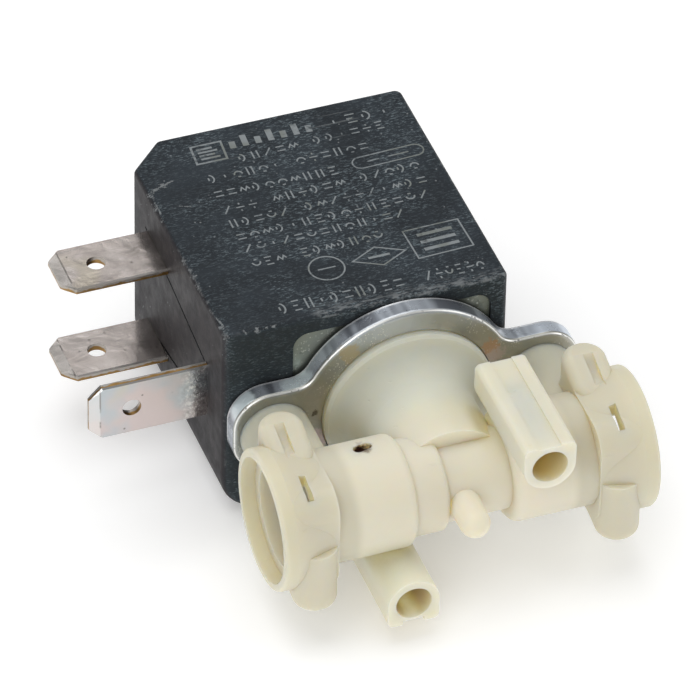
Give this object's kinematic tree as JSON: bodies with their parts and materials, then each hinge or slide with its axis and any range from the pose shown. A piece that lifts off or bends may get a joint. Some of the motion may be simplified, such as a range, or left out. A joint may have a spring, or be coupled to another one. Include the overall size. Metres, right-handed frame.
{
  "type": "solenoid valve",
  "caption": "Direct-acting two-way solenoid valve: plastic flow body with quick-fit sockets under an encapsulated coil with push-on blade terminals.",
  "frame": {"origin": "centre of the mounting face, midway between the ends of the two screw bosses", "axes": "+Y back along the plunger axis from the flow body into the coil, X along the flow tube (the terminals leave towards -X), +Z towards the coil's broad label face"},
  "size_m": [0.049, 0.058, 0.0228],
  "materials": {
    "ivory_plastic": "slightly translucent moulded polyamide, satin",
    "zinc_plate": "bright zinc plated pressed steel",
    "stainless": "turned stainless steel",
    "seal_rubber": "matt black",
    "copper": "bare and enamelled copper",
    "yoke_steel": "grey passivated mild steel, satin",
    "bobbin_plastic": "glass filled polyamide and tape",
    "tinned_brass": "tinned, with the brass showing at the sheared edges",
    "casing_resin": "dark slate moulding resin, fine speckle, scuffed edges"
  },
  "bodies": {
    "valve": {"valve_body": "ivory_plastic", "clamp_plate": "zinc_plate", "clamp_screws": "zinc_plate", "guide_tube": "stainless", "guide_o_ring": "seal_rubber", "fixed_core": "stainless", "shading_ring": "copper", "plunger_spring": "stainless", "spring_washer": "zinc_plate", "coil_nut": "zinc_plate"},
    "plunger": {"plunger": "stainless", "plunger_seal": "seal_rubber"},
    "coil": {"coil_casing": "casing_resin", "yoke_frame": "yoke_steel", "front_flux_sleeve": "yoke_steel", "rear_flux_sleeve": "yoke_steel", "coil_bobbin": "bobbin_plastic", "coil_winding": "copper", "winding_tape": "bobbin_plastic", "line_terminal": "tinned_brass", "neutral_terminal": "tinned_brass", "earth_terminal": "tinned_brass"}
  },
  "joints": [
    {"name": "plunger_slide", "type": "slide", "parent": "valve", "child": "plunger", "axis": [0, 1, 0], "range_m": [0, 0.0016], "stiffness_N_per_m": 250, "springref_m": -0.006, "deforming": ["plunger_spring"]},
    {"name": "coil_swivel", "type": "hinge", "parent": "valve", "child": "coil", "pos_m": [0, 0.0377, 0], "axis": [0, 1, 0], "continuous": true}
  ]
}
